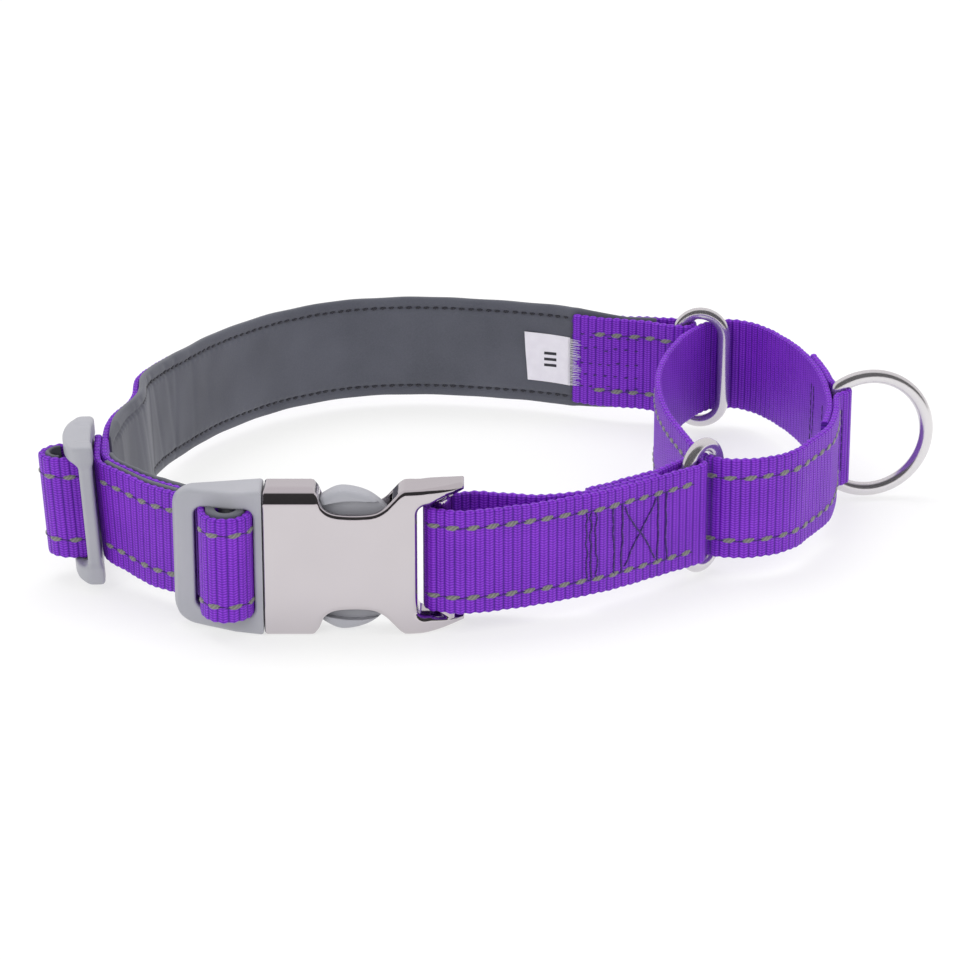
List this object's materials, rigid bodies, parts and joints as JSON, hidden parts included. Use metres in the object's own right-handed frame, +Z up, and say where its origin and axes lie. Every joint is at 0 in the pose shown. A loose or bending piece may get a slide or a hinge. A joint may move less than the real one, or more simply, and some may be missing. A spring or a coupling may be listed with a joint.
{
  "type": "martingale collar",
  "caption": "Padded webbing dog collar with a slider, a metal side-release buckle, and a control loop that runs through oval rings and carries the leash ring.",
  "frame": {"origin": "on the resting plane under the middle of the collar's box", "axes": "+X from the slider to the leash ring, +Y from the buckle to the padded back strap, +Z up"},
  "size_m": [0.2246, 0.1792, 0.0355],
  "materials": {
    "purple_webbing": "ribbed nylon webbing, soft sheen",
    "grey_lining": "matt knitted neoprene",
    "white_label": "matt woven tape",
    "reflective_thread": "twisted reflective thread",
    "dark_thread": "twisted polyester thread",
    "grey_plastic": "satin moulded acetal",
    "polished_metal": "polished nickel plate"
  },
  "bodies": {
    "back_strap": {"back_webbing": "purple_webbing", "neck_padding": "grey_lining", "size_label": "white_label", "back_reflective_thread": "reflective_thread", "padding_stitching": "dark_thread", "back_tail_stitching": "dark_thread"},
    "adjuster": {"adjuster_webbing": "purple_webbing", "adjuster_inner_lining": "grey_lining", "adjuster_outer_lining": "grey_lining", "adjuster_reflective_thread": "reflective_thread", "buckle_frame": "grey_plastic"},
    "slider": {"slider_frame": "grey_plastic", "slider_webbing": "purple_webbing", "slider_lining": "grey_lining", "slider_reflective_thread": "reflective_thread"},
    "upper_latch": {"upper_latch": "grey_plastic"},
    "lower_latch": {"lower_latch": "grey_plastic"},
    "front_strap": {"buckle_shell": "polished_metal", "front_webbing": "purple_webbing", "front_reflective_thread": "reflective_thread", "front_box_stitching": "dark_thread"},
    "front_ring": {"front_ring": "polished_metal"},
    "back_ring": {"back_ring": "polished_metal"},
    "control_loop": {"control_loop_webbing": "purple_webbing", "loop_reflective_thread": "reflective_thread", "loop_box_stitching": "dark_thread"},
    "leash_ring": {"leash_ring": "polished_metal"}
  },
  "joints": [
    {"name": "cinch", "type": "hinge", "parent": "back_strap", "child": "adjuster", "pos_m": [-0.0989, -0.0166, 0.01775], "axis": [0, 0, 1], "range_deg": [0, 15], "deforming": ["control_loop_webbing", "loop_reflective_thread", "loop_box_stitching"]},
    {"name": "slider_slide", "type": "slide", "parent": "adjuster", "child": "slider", "axis": [-0.0898, 0.996, 0], "range_m": [0, 0.01]},
    {"name": "latch_press", "type": "hinge", "parent": "adjuster", "child": "upper_latch", "pos_m": [-0.0546, -0.08105, 0.02775], "axis": [0, 1, 0], "range_deg": [0, 8]},
    {"name": "lower_latch_press", "type": "hinge", "parent": "adjuster", "child": "lower_latch", "pos_m": [-0.0546, -0.08105, 0.00775], "axis": [0, 1, 0], "range_deg": [-8, 0]},
    {"name": "buckle_release", "type": "slide", "parent": "adjuster", "child": "front_strap", "axis": [1, 0, 0], "range_m": [0, 0.026], "deforming": ["upper_latch", "lower_latch", "control_loop_webbing", "loop_reflective_thread", "loop_box_stitching"]},
    {"name": "front_ring_swing", "type": "hinge", "parent": "front_strap", "child": "front_ring", "pos_m": [0.0444, -0.0507, 0.01775], "axis": [0, 0, 1], "range_deg": [-8, 8]},
    {"name": "back_ring_swing", "type": "hinge", "parent": "back_strap", "child": "back_ring", "pos_m": [0.0488, 0.067, 0.01775], "axis": [0, 0, 1], "range_deg": [0, 13.5]},
    {"name": "loop_draw", "type": "slide", "parent": "back_ring", "child": "control_loop", "axis": [0.5145, 0.8575, 0], "range_m": [0, 0.0234]},
    {"name": "leash_ring_swing", "type": "hinge", "parent": "control_loop", "child": "leash_ring", "pos_m": [0.08645, 0.0082, 0.01775], "axis": [0, 0, 1], "range_deg": [-75, 75]}
  ],
  "couplings": [
    {"joint": "lower_latch_press", "follows": "latch_press", "ratio": -1},
    {"joint": "back_ring_swing", "follows": "buckle_release", "rad_per_m": 9},
    {"joint": "loop_draw", "follows": "cinch", "m_per_rad": 0.089}
  ]
}
